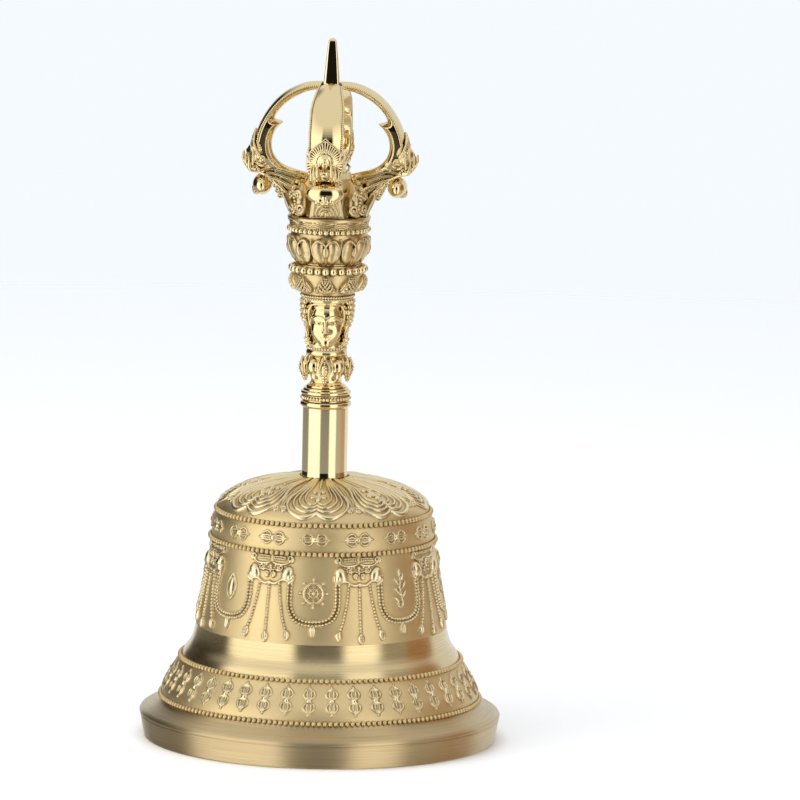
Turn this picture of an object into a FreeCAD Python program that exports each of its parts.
"""Ritual hand bell (drilbu) with a cast bell, a stacked handle, a four-pronged crown and a hanging clapper.

Millimetres, +Z up. The origin is the centre of the bell's mouth, in the plane of the rim that the bell
stands on. The face on the handle looks towards -Y. The bell, the handle stack and the tie rod that clamps
them are one rigid body. A ring hangs in the eye under the crown, and the clapper hangs in the ring.
"""

import FreeCAD, Part
import math
import os
import re
import Sketcher

os.makedirs("parts", exist_ok=True)
doc = FreeCAD.newDocument("hand_bell")
Vector = FreeCAD.Vector
Z_AXIS = Vector(0, 0, 1)
ALONG_X = FreeCAD.Rotation(Vector(1, 0, 0), 90)
ACROSS_X = FreeCAD.Rotation(Vector(0, 1, 0), 90)

# Driving dimensions: name and value in millimetres, or a count or an angle in degrees where the name says so.
SIZES = [
    # bell
    ("mouth_radius", 46.5),
    ("rim_height", 6.0),
    ("rim_taper", 1.2),
    ("rim_inside_radius", 38.6),
    ("flare_band_radius", 40.9),
    ("flare_band_height", 10.7),
    ("waist_foot_radius", 35.9),
    ("waist_foot_height", 20.9),
    ("waist_top_radius", 28.9),
    ("waist_top_height", 51.9),
    ("shoulder_radius", 27.6),
    ("shoulder_height", 59.3),
    ("seat_radius", 6.6),
    ("seat_height", 67.4),
    ("bead_radius", 0.7),
    ("crown_inside_height", 64.2),
    ("rod_hole_radius", 2.7),
    # handle
    ("gasket_thickness", 0.8),
    ("sleeve_radius", 5.85),
    ("sleeve_top", 86.0),
    ("bore_radius", 2.55),
    ("collar_radius", 6.5),
    ("collar_top", 91.3),
    ("pot_radius", 5.6),
    ("vase_top", 101.0),
    ("drop_reach", 6.6),
    ("head_top", 114.0),
    ("head_radius", 7.0),
    ("neck_radius", 4.6),
    ("garland_top", 123.3),
    ("garland_radius", 9.9),
    ("cup_top", 131.5),
    ("cup_radius", 10.0),
    ("petal_count", 8),
    ("plate_top", 136.0),
    ("plate_radius", 10.6),
    # crown of prongs
    ("boss_half_width", 4.6),
    ("boss_top", 146.0),
    ("prong_top", 169.9),
    ("prong_gap", 2.5),
    ("prong_reach", 20.9),
    ("prong_width", 8.6),
    ("prong_tip_width", 3.6),
    ("jaw_radius", 3.4),
    ("spike_half_width", 2.6),
    ("spike_neck_half_width", 2.0),
    ("spike_tip_half_width", 0.9),
    ("spike_top", 181.0),
    # fasteners and clapper
    ("rod_radius", 2.5),
    ("thread_radius", 2.52),
    ("washer_radius", 8.0),
    ("washer_thickness", 1.2),
    ("nut_flats", 8.0),
    ("nut_thickness", 2.7),
    ("hub_radius", 3.8),
    ("hub_height", 3.9),
    ("eye_ring_radius", 3.6),
    ("eye_wire_radius", 0.9),
    ("link_radius", 3.4),
    ("link_wire_radius", 0.75),
    ("link_play", 0.15),
    ("clapper_eye_radius", 2.4),
    ("clapper_rod_radius", 1.6),
    ("bob_radius", 8.0),
    ("bob_height", 12.0),
    ("bob_foot", 3.0),
    ("bob_top", 23.0),
]

sheet = doc.addObject("Spreadsheet::Sheet", "Sizes")
for row, (alias, value) in enumerate(SIZES, start=1):
    sheet.set(f"A{row}", alias)
    sheet.set(f"B{row}", str(value))
    sheet.setAlias(f"B{row}", alias)
doc.recompute()

PARTS = []


def size(text):
    """The value of an expression that is written with the sheet's own names."""
    return float(sheet.evalExpression(text))


def bound(text):
    """The same expression, as other objects of the document have to write it."""
    return re.sub(r"[a-z_]{3,}", r"Sizes.\g<0>", text)


def bind(thing, **expressions):
    """Bind properties of a document object to expressions of the sheet."""
    for name, text in expressions.items():
        thing.setExpression(name, bound(text))


def keep(thing, label):
    """Make a finished object a sub-part, which is written to parts/ under its label."""
    thing.Label = label
    PARTS.append(thing)
    return thing


def origin_plane(body, role):
    """One of the body's own origin planes."""
    return next(plane for plane in body.Origin.OriginFeatures if plane.Role == role)


def new_sketch(body, name, role):
    """A sketch on one of the body's origin planes."""
    sketch = body.newObject("Sketcher::SketchObject", name)
    sketch.AttachmentSupport = (origin_plane(body, role), [""])
    sketch.MapMode = "FlatFace"
    return sketch


def stretch_between(start, end, radius):
    """A line, or an arc that bulges to the right of its direction when its radius is positive."""
    if radius == 0:
        return Part.LineSegment(start, end), 1, 2
    chord = end - start
    half = chord.Length / 2
    side = Vector(-chord.y, chord.x, 0) / chord.Length
    centre = (start + end) / 2 + side * math.copysign(math.sqrt(radius * radius - half * half), radius)
    circle = Part.Circle(centre, Z_AXIS, abs(radius))
    from_start = math.atan2(start.y - centre.y, start.x - centre.x)
    from_end = math.atan2(end.y - centre.y, end.x - centre.x)
    if radius > 0:
        return Part.ArcOfCircle(circle, from_start, from_end), 1, 2
    return Part.ArcOfCircle(circle, from_end, from_start), 2, 1


def fix_point(sketch, index, end, across, up):
    """Hold one end of a stretch at a place given by two expressions."""
    for text, kind, axis in ((across, "DistanceX", -2), (up, "DistanceY", -1)):
        value = size(text)
        if abs(value) < 1e-9:
            sketch.addConstraint(Sketcher.Constraint("PointOnObject", index, end, axis))
        else:
            number = sketch.addConstraint(Sketcher.Constraint(kind, -1, 1, index, end, value))
            sketch.setExpression(f"Constraints[{number}]", bound(text))


def draw_outline(sketch, outline):
    """Draw a closed outline. Each entry is a point, and the radius of the arc that leads to the next one."""
    points = [Vector(size(entry[0]), size(entry[1]), 0) for entry in outline]
    ends = []
    for number, entry in enumerate(outline):
        radius = entry[2] if len(entry) > 2 else 0
        shape, start, end = stretch_between(points[number], points[(number + 1) % len(points)], radius)
        index = sketch.addGeometry(shape, False)
        ends.append((index, start, end))
        if radius:
            sketch.addConstraint(Sketcher.Constraint("Radius", index, abs(radius)))
    for number, (index, start, end) in enumerate(ends):
        following, following_start, unused = ends[(number + 1) % len(ends)]
        sketch.addConstraint(Sketcher.Constraint("Coincident", index, end, following, following_start))
        fix_point(sketch, index, start, outline[number][0], outline[number][1])


def turned(label, outline):
    """A piece turned about the Z axis from an outline of (radius, height) entries."""
    body = keep(doc.addObject("PartDesign::Body", label), label)
    sketch = new_sketch(body, label + "_outline", "XZ_Plane")
    draw_outline(sketch, outline)
    revolution = body.newObject("PartDesign::Revolution", label + "_turning")
    revolution.Profile = sketch
    revolution.ReferenceAxis = (sketch, ["V_Axis"])
    revolution.Angle = 360
    doc.recompute()
    return body


def repeat(body, feature, count_text):
    """Repeat a feature of the body evenly about the Z axis."""
    pattern = body.newObject("PartDesign::PolarPattern", feature.Name + "_pattern")
    pattern.Originals = [feature]
    axis = next(line for line in body.Origin.OriginFeatures if line.Role == "Z_Axis")
    pattern.Axis = (axis, [""])
    pattern.Angle = 360
    bind(pattern, Occurrences=count_text)
    body.Tip = pattern
    doc.recompute()
    return pattern


def add_ellipsoid(body, name, place, radii):
    """Add an ellipsoid with its centre at place; radii are its half-sizes along X, Y and Z."""
    lump = body.newObject("PartDesign::AdditiveEllipsoid", name)
    bind(lump, Radius2=radii[0], Radius3=radii[1], Radius1=radii[2])
    lump.Placement = FreeCAD.Placement(Vector(*[size(text) for text in place]), FreeCAD.Rotation())
    doc.recompute()
    return lump


def beaded(radius, height, bead="bead_radius"):
    """The two outline entries of a half-round ring that stands out of a wall at the given height."""
    return [(radius, f"{height} - {bead}", size(bead) + 0.02), (radius, f"{height} + {bead}")]


# ---------------------------------------------------------------- bell

def make_bell():
    """The cast bell: a thick flared rim, a decorated waist, a domed crown with a seat for the handle."""
    outline = [
        ("rim_inside_radius", "0"),
        ("mouth_radius - rim_taper", "0"),
        ("mouth_radius", "rim_height + 0.6", 2.4),
        ("mouth_radius - 1.2", "rim_height + 2.8", -6),
        *beaded("flare_band_radius - 0.3", "flare_band_height"),
        ("flare_band_radius - 0.4", "flare_band_height + 1.6", -40),
        *beaded("waist_foot_radius - 0.3", "waist_foot_height"),
        ("waist_foot_radius - 0.8", "waist_foot_height + 1.9", -22),
        ("waist_foot_radius - 3.9", "waist_foot_height + 9", -160),
        *beaded("waist_top_radius - 0.4", "waist_top_height"),
        ("waist_top_radius - 0.6", "waist_top_height + 1.1", 22),
        *beaded("shoulder_radius - 0.4", "shoulder_height"),
        ("shoulder_radius - 0.6", "shoulder_height + 1.1", 4.5),
        ("shoulder_radius - 4.6", "shoulder_height + 4.6", 75),
        ("seat_radius", "seat_height + 0.6"),
        ("seat_radius", "seat_height"),
        ("rod_hole_radius", "seat_height"),
        ("rod_hole_radius", "crown_inside_height"),
        ("washer_radius + 1", "crown_inside_height", -20),
        ("waist_top_radius - 5", "waist_top_height + 4", -60),
        ("waist_top_radius - 2.6", "waist_top_height - 8", -150),
        ("waist_foot_radius - 6.6", "waist_foot_height + 7.1", 45),
        ("waist_foot_radius + 0.9", "rim_height + 1"),
    ]
    return turned("bell_body", outline)


def make_gasket():
    """The thin washer between the crown's seat and the handle, which lets the bell ring."""
    return turned("crown_gasket", [
        ("bore_radius + 0.3", "seat_height"),
        ("sleeve_radius", "seat_height"),
        ("sleeve_radius", "seat_height + gasket_thickness"),
        ("bore_radius + 0.3", "seat_height + gasket_thickness"),
    ])


# ---------------------------------------------------------------- handle

def make_sleeve():
    """The plain polished tube that carries the handle."""
    return turned("handle_sleeve", [
        ("bore_radius", "seat_height + gasket_thickness"),
        ("sleeve_radius + 0.15", "seat_height + gasket_thickness"),
        ("sleeve_radius", "seat_height + gasket_thickness + 1.2"),
        ("sleeve_radius", "sleeve_top"),
        ("bore_radius", "sleeve_top"),
    ])


def make_vase():
    """The beaded collar and the pot above it, with four pendant drops round the pot."""
    body = turned("vase_section", [
        ("bore_radius", "sleeve_top"),
        ("collar_radius - 0.5", "sleeve_top"),
        *beaded("collar_radius - 0.3", "sleeve_top + 1", "0.45"),
        ("collar_radius - 0.5", "sleeve_top + 1.7"),
        *beaded("collar_radius - 0.4", "sleeve_top + 2.6", "0.6"),
        ("collar_radius - 0.3", "sleeve_top + 4"),
        ("collar_radius - 0.8", "collar_top"),
        ("pot_radius - 2", "collar_top", -4),
        ("pot_radius", "collar_top + 4.6", 4.2),
        ("pot_radius - 1.5", "vase_top - 1.9"),
        ("pot_radius - 0.6", "vase_top - 1.3", 1),
        ("pot_radius - 0.6", "vase_top"),
        ("bore_radius", "vase_top"),
    ])
    drop = add_ellipsoid(body, "pendant_drop", ("drop_reach - 0.6", "0", "collar_top + 4.2"), ("1.2", "1.4", "3.4"))
    repeat(body, drop, "4")
    return body


def make_head():
    """The head of the figure: a necklace, a round head of hair with the face in front, and a hair band."""
    body = turned("head_section", [
        ("0", "vase_top"),
        ("neck_radius + 0.5", "vase_top", 0.6),
        ("neck_radius + 0.5", "vase_top + 1"),
        ("neck_radius", "vase_top + 1.8", 6.2),
        ("head_radius - 0.6", "vase_top + 9.8"),
        ("head_radius - 0.6", "head_top"),
        ("0", "head_top"),
    ])
    face = body.newObject("PartDesign::AdditiveSphere", "face")
    bind(face, Radius="head_radius - 1.3")
    face.Placement = FreeCAD.Placement(Vector(0, -1.5, size("vase_top + 6.2")), FreeCAD.Rotation())
    doc.recompute()
    bore = body.newObject("PartDesign::SubtractiveCylinder", "head_bore")
    bind(bore, Radius="bore_radius", Height="head_top - vase_top")
    bore.Placement = FreeCAD.Placement(Vector(0, 0, size("vase_top")), FreeCAD.Rotation())
    doc.recompute()
    return body


def make_garland():
    """The bowl hung with beads, under a ring of large beads."""
    return turned("garland_section", [
        ("bore_radius", "head_top"),
        ("sleeve_radius + 0.9", "head_top", 9),
        ("garland_radius", "head_top + 3.6", 12),
        ("garland_radius - 0.9", "garland_top - 2.4"),
        *beaded("garland_radius - 1.3", "garland_top - 1.3", "1.05"),
        ("garland_radius - 1.9", "garland_top"),
        ("bore_radius", "garland_top"),
    ])


def make_cup():
    """The lotus cup, with a ring of petals round it."""
    body = turned("lotus_cup", [
        ("bore_radius", "garland_top"),
        ("cup_radius - 2.4", "garland_top", 11),
        ("cup_radius", "cup_top - 1.2"),
        ("cup_radius - 0.4", "cup_top"),
        ("bore_radius", "cup_top"),
    ])
    petal = add_ellipsoid(body, "petal", ("0", "0.5 - cup_radius", "garland_top + 4.2"), ("3.2", "1.1", "3.6"))
    repeat(body, petal, "petal_count")
    return body


def make_prong_base():
    """The beaded plate, with the square boss that the prongs' feet stand against."""
    body = turned("prong_base", [
        ("bore_radius", "cup_top"),
        *beaded("plate_radius - 1", "cup_top + 0.8", "0.7"),
        ("plate_radius - 0.9", "plate_top - 1.6"),
        ("plate_radius", "plate_top - 0.9"),
        ("plate_radius - 0.2", "plate_top"),
        ("bore_radius", "plate_top"),
    ])
    sketch = new_sketch(body, "boss_outline", "XY_Plane")
    half = "boss_half_width"
    corners = [(half, half), ("-" + half, half), ("-" + half, "-" + half), (half, "-" + half)]
    draw_outline(sketch, corners)
    bore = sketch.addGeometry(Part.Circle(Vector(), Z_AXIS, size("bore_radius")), False)
    sketch.addConstraint(Sketcher.Constraint("Coincident", bore, 3, -1, 1))
    number = sketch.addConstraint(Sketcher.Constraint("Radius", bore, size("bore_radius")))
    sketch.setExpression(f"Constraints[{number}]", bound("bore_radius"))
    bind(sketch, **{"AttachmentOffset.Base.z": "plate_top - 1"})
    boss = body.newObject("PartDesign::Pad", "boss")
    boss.Profile = sketch
    bind(boss, Length="boss_top - plate_top + 1")
    doc.recompute()
    return body


# ---------------------------------------------------------------- crown of prongs

def prong_outline():
    """Side view of an outer prong: inner curve, barb, lower curve, foot, jaw, snout and outer curve."""
    return [
        ("prong_gap", "prong_top - 2.2", -15),
        ("prong_gap + 12.3", "prong_top - 10.1"),
        ("prong_gap + 9.8", "prong_top - 10.7"),
        ("prong_reach - 5.9", "prong_top - 15.4", -10.4),
        ("boss_half_width", "boss_top"),
        ("boss_half_width", "plate_top"),
        ("plate_radius - 0.6", "plate_top"),
        ("prong_reach - 9.3", "plate_top + 4.4"),
        ("prong_reach - 4.2", "plate_top + 5.4"),
        ("prong_reach - 1.4", "plate_top + 8.5"),
        ("prong_reach - 2.6", "plate_top + 11.5"),
        ("prong_reach + 1.4", "prong_top - 18.5"),
        ("prong_reach", "prong_top - 17.2", 22.3),
        ("prong_gap", "prong_top"),
    ]


def make_prong(label, turn):
    """One outer prong, with the head it springs from, turned about Z to its place."""
    body = keep(doc.addObject("PartDesign::Body", label), label)
    side = new_sketch(body, label + "_side", "XZ_Plane")
    draw_outline(side, prong_outline())
    pad = body.newObject("PartDesign::Pad", label + "_pad")
    pad.Profile = side
    pad.Midplane = True
    bind(pad, Length="prong_width")
    taper = new_sketch(body, label + "_taper", "YZ_Plane")
    for sign in ("", "-"):
        draw_outline(taper, [
            (f"{sign}1 * prong_width / 2", "prong_top - 12"),
            (f"{sign}1 * prong_tip_width / 2", "prong_top + 1"),
            (f"{sign}1 * prong_width", "prong_top + 1"),
            (f"{sign}1 * prong_width", "prong_top - 12"),
        ])
    cut = body.newObject("PartDesign::Pocket", label + "_taper_cut")
    cut.Profile = taper
    cut.Type = 1
    cut.Midplane = True
    doc.recompute()
    jaw = body.newObject("PartDesign::AdditiveSphere", label + "_jaw")
    bind(jaw, Radius="jaw_radius")
    jaw.Placement = FreeCAD.Placement(
        Vector(size("prong_reach - 4.4"), 0, size("plate_top + 7")), FreeCAD.Rotation())
    body.Placement = FreeCAD.Placement(Vector(), FreeCAD.Rotation(Z_AXIS, turn))
    doc.recompute()
    return body


def make_centre_prong():
    """The square centre spike on a round foot, bored for the end of the tie rod."""
    body = turned("centre_prong", [
        ("0", "boss_top + 5"),
        ("0", "boss_top + 4"),
        ("thread_radius", "boss_top + 4"),
        ("thread_radius", "boss_top"),
        ("boss_half_width - 0.4", "boss_top", 6),
        ("spike_half_width + 1.2", "boss_top + 5"),
    ])
    levels = [
        ("boss_top + 5", "spike_half_width"),
        ("prong_top - 1", "spike_neck_half_width"),
        ("spike_top", "spike_tip_half_width"),
    ]
    squares = []
    for number, (height, half) in enumerate(levels):
        sketch = new_sketch(body, f"spike_square_{number}", "XY_Plane")
        draw_outline(sketch, [(half, half), ("-" + half, half), ("-" + half, "-" + half), (half, "-" + half)])
        bind(sketch, **{"AttachmentOffset.Base.z": height})
        squares.append(sketch)
    doc.recompute()
    spike = body.newObject("PartDesign::AdditiveLoft", "spike")
    spike.Profile = squares[0]
    spike.Sections = squares[1:]
    spike.Ruled = True
    doc.recompute()
    return body


# ---------------------------------------------------------------- fasteners and clapper

def make_tie_rod():
    """The steel rod, threaded at both ends, that clamps the handle stack and the bell together."""
    return turned("tie_rod", [
        ("0", "hub_foot + 1"),
        ("rod_radius - 0.4", "hub_foot + 1"),
        ("rod_radius", "hub_foot + 1.4"),
        ("rod_radius", "boss_top + 3.4"),
        ("rod_radius - 0.4", "boss_top + 3.8"),
        ("0", "boss_top + 3.8"),
    ])


def make_washer():
    """The wide washer under the crown."""
    return turned("crown_washer", [
        ("bore_radius", "washer_foot"),
        ("washer_radius", "washer_foot"),
        ("washer_radius", "crown_inside_height"),
        ("bore_radius", "crown_inside_height"),
    ])


def make_nut():
    """The thin hexagon nut that clamps the stack, with bevelled corners."""
    prism = doc.addObject("Part::Prism", "nut_prism")
    prism.Polygon = 6
    bind(prism, Circumradius="nut_corner_radius", Height="nut_thickness")
    bevel = doc.addObject("Part::Cone", "nut_bevel")
    bind(bevel, Radius1="nut_flats / 2 + 0.1", Radius2="nut_flats / 2 + 0.1 + 2 * nut_thickness",
         Height="nut_thickness")
    bore = doc.addObject("Part::Cylinder", "nut_bore")
    bind(bore, Radius="thread_radius", Height="nut_thickness")
    bevelled = doc.addObject("Part::Common", "nut_bevelled")
    bevelled.Base = prism
    bevelled.Tool = bevel
    nut = doc.addObject("Part::Cut", "nut")
    nut.Base = bevelled
    nut.Tool = bore
    bind(nut, **{"Placement.Base.z": "washer_foot - nut_thickness"})
    return keep(nut, "crown_nut")


def make_clapper_eye():
    """The eye nut at the lower end of the tie rod: a round hub with a ring in the XZ plane under it."""
    hub = doc.addObject("Part::Cylinder", "eye_hub")
    bind(hub, Radius="hub_radius", Height="hub_height")
    bind(hub, **{"Placement.Base.z": "hub_foot"})
    ring = doc.addObject("Part::Torus", "eye_ring")
    bind(ring, Radius1="eye_ring_radius", Radius2="eye_wire_radius")
    ring.Placement = FreeCAD.Placement(Vector(), ALONG_X)
    bind(ring, **{"Placement.Base.z": "eye_height"})
    bore = doc.addObject("Part::Cylinder", "eye_bore")
    bind(bore, Radius="thread_radius", Height="hub_height")
    bind(bore, **{"Placement.Base.z": "hub_foot + 1"})
    blank = doc.addObject("Part::MultiFuse", "eye_blank")
    blank.Shapes = [hub, ring]
    eye = doc.addObject("Part::Cut", "eye")
    eye.Base = blank
    eye.Tool = bore
    return keep(eye, "clapper_eye")


def make_link():
    """The ring that hangs in the eye, in the YZ plane."""
    link = doc.addObject("Part::Torus", "link")
    bind(link, Radius1="link_radius", Radius2="link_wire_radius")
    link.Placement = FreeCAD.Placement(Vector(), ACROSS_X)
    bind(link, **{"Placement.Base.z": "link_height"})
    return keep(link, "hanger_ring")


def make_clapper_rod():
    """The clapper's rod, with the eye that it hangs by in the XZ plane."""
    ring = doc.addObject("Part::Torus", "rod_ring")
    bind(ring, Radius1="clapper_eye_radius", Radius2="link_wire_radius")
    ring.Placement = FreeCAD.Placement(Vector(), ALONG_X)
    bind(ring, **{"Placement.Base.z": "clapper_eye_height"})
    shank = doc.addObject("Part::Cylinder", "rod_shank")
    bind(shank, Radius="clapper_rod_radius", Height="clapper_eye_height - clapper_eye_radius - bob_height")
    bind(shank, **{"Placement.Base.z": "bob_height"})
    rod = doc.addObject("Part::MultiFuse", "rod")
    rod.Shapes = [shank, ring]
    return keep(rod, "clapper_rod")


def make_bob():
    """The pear-shaped striker, bored for the end of the rod."""
    return turned("clapper_bob", [
        ("0", "bob_foot"),
        ("1.6", "bob_foot", 1.4),
        ("2", "bob_foot + 1.6", 6.4),
        ("bob_radius", "bob_height", 8.5),
        ("3.6", "bob_top - 2.5", -6),
        ("2.7", "bob_top"),
        ("clapper_rod_radius + 0.02", "bob_top"),
        ("clapper_rod_radius + 0.02", "bob_height"),
        ("0", "bob_height"),
    ])


# Sizes that follow from the others: the nut's corners, and the heights down the clapper's chain.
DERIVED = [
    ("nut_corner_radius", "nut_flats / 2 / cos(30)"),
    ("washer_foot", "crown_inside_height - washer_thickness"),
    ("hub_foot", "washer_foot - nut_thickness - hub_height"),
    ("eye_height", "hub_foot - eye_ring_radius"),
    ("link_height", "eye_height - eye_ring_radius + eye_wire_radius + link_wire_radius + link_play - link_radius"),
    ("pivot_height", "link_height - link_radius"),
    ("clapper_eye_height", "pivot_height + 2 * link_wire_radius + link_play - clapper_eye_radius"),
]
for row, (alias, formula) in enumerate(DERIVED, start=len(SIZES) + 1):
    sheet.set(f"A{row}", alias)
    sheet.set(f"B{row}", "=" + formula)
    sheet.setAlias(f"B{row}", alias)
    doc.recompute()

make_bell()
make_gasket()
make_sleeve()
make_vase()
make_head()
make_garland()
make_cup()
make_prong_base()
for label, turn in (("prong_front", -90), ("prong_right", 0), ("prong_back", 90), ("prong_left", 180)):
    make_prong(label, turn)
make_centre_prong()
make_tie_rod()
make_washer()
make_nut()
make_clapper_eye()
make_link()
make_clapper_rod()
make_bob()
doc.recompute()

for thing in doc.Objects:
    broken = {"Invalid", "Error"} & set(thing.State)
    if broken:
        raise RuntimeError(f"{thing.Label} is {broken}")
for thing in PARTS:
    shape = thing.Shape
    if shape.isNull() or not shape.isValid() or len(shape.Solids) != 1:
        raise RuntimeError(f"{thing.Label} is not one valid solid: {len(shape.Solids)} solids")
for thing in PARTS:
    thing.Shape.exportStep(f"parts/{thing.Label}.step")
    box = thing.Shape.BoundBox
    print(f"{thing.Label:16s} {thing.Shape.Volume:10.1f} mm3  z {box.ZMin:7.2f} to {box.ZMax:7.2f}")
print("pivot height", round(size("pivot_height"), 3))
